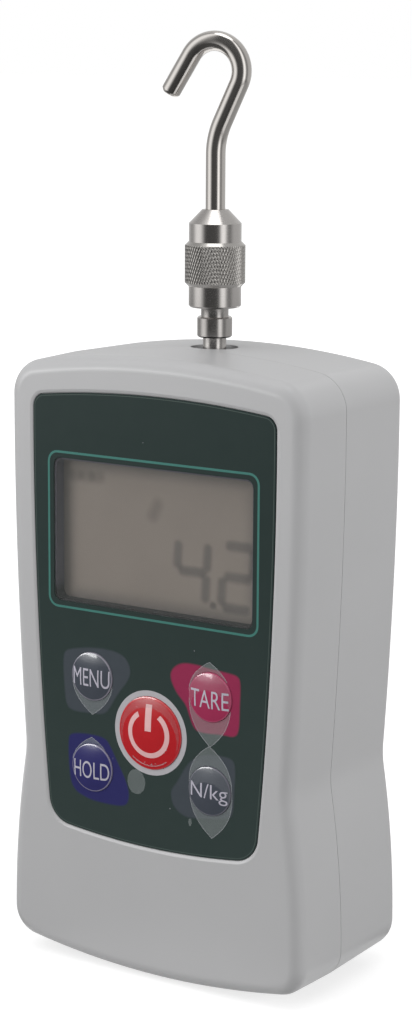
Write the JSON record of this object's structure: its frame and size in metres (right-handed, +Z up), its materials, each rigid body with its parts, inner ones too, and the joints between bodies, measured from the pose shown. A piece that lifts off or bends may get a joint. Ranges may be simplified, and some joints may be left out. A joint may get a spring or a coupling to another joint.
{
  "type": "digital force gauge",
  "caption": "Handheld digital force gauge: waisted plastic case with a display and keys, and a wire hook on a knurled adapter at the end of the measuring shaft.",
  "frame": {"origin": "under the middle of the case, on the surface that it stands on", "axes": "+X to the right of the display, +Y from the display to the back, +Z up along the measuring shaft"},
  "size_m": [0.0764, 0.043, 0.2017],
  "materials": {
    "case_grey": "satin moulded",
    "panel_green": "printed sheet",
    "window": "clear",
    "display": "satin",
    "frame_dark": "satin",
    "elastomer": "soft",
    "board_green": "satin",
    "black_plastic": "satin",
    "zinc_screw": "zinc plated",
    "black_screw": "black oxide",
    "cell_wrap": "wrapped",
    "lead_red": "insulated",
    "foil": "film",
    "cell_alloy": "machined",
    "brass_post": "turned",
    "steel": "turned and polished",
    "key_red": "embossed sheet",
    "key_slate": "embossed sheet",
    "key_magenta": "embossed sheet",
    "key_indigo": "embossed sheet",
    "plunger_white": "moulded"
  },
  "bodies": {
    "case": {"front_case": "case_grey", "rear_case": "case_grey", "panel_overlay": "panel_green", "display_window": "window", "mount_posts": "brass_post", "case_screws": "black_screw", "charge_jack": "black_plastic", "data_port": "zinc_screw", "lcd_frame": "frame_dark", "lcd_glass": "display", "zebra_strips": "elastomer", "main_board": "board_green", "board_chips": "black_plastic", "key_switches": "black_plastic", "board_screws": "zinc_screw", "buzzer": "black_plastic", "io_board": "board_green", "io_header": "black_plastic", "battery_tray": "frame_dark", "battery_cells": "cell_wrap", "battery_leads": "lead_red", "load_cell": "cell_alloy", "load_cell_bracket": "cell_alloy", "load_cell_bolt": "black_screw", "strain_gauges": "foil", "sensor_ribbon": "foil", "bracket_screws": "zinc_screw"},
    "shaft": {"measuring_shaft": "steel", "shaft_lock_nut": "zinc_screw"},
    "hook": {"knurled_adapter": "steel", "hook": "steel"},
    "power_button": {"power_key": "key_red", "power_plunger": "plunger_white"},
    "menu_button": {"menu_key": "key_slate", "menu_plunger": "plunger_white"},
    "tare_button": {"tare_key": "key_magenta", "tare_plunger": "plunger_white"},
    "hold_button": {"hold_key": "key_indigo", "hold_plunger": "plunger_white"},
    "unit_button": {"unit_key": "key_slate", "unit_plunger": "plunger_white"}
  },
  "joints": [
    {"name": "shaft_travel", "type": "slide", "parent": "case", "child": "shaft", "axis": [0, 0, 1], "range_m": [-0.00025, 0.00025], "stiffness_N_per_m": 30000, "deforming": ["load_cell"]},
    {"name": "hook_turn", "type": "hinge", "parent": "shaft", "child": "hook", "pos_m": [0, 0.003, 0.1545], "axis": [0, 0, 1], "range_deg": [-180, 180]},
    {"name": "power_press", "type": "slide", "parent": "case", "child": "power_button", "axis": [0, 1, 0], "range_m": [0, 0.0005], "stiffness_N_per_m": 4000},
    {"name": "menu_press", "type": "slide", "parent": "case", "child": "menu_button", "axis": [0, 1, 0], "range_m": [0, 0.0005], "stiffness_N_per_m": 4000},
    {"name": "tare_press", "type": "slide", "parent": "case", "child": "tare_button", "axis": [0, 1, 0], "range_m": [0, 0.0005], "stiffness_N_per_m": 4000},
    {"name": "hold_press", "type": "slide", "parent": "case", "child": "hold_button", "axis": [0, 1, 0], "range_m": [0, 0.0005], "stiffness_N_per_m": 4000},
    {"name": "unit_press", "type": "slide", "parent": "case", "child": "unit_button", "axis": [0, 1, 0], "range_m": [0, 0.0005], "stiffness_N_per_m": 4000}
  ]
}
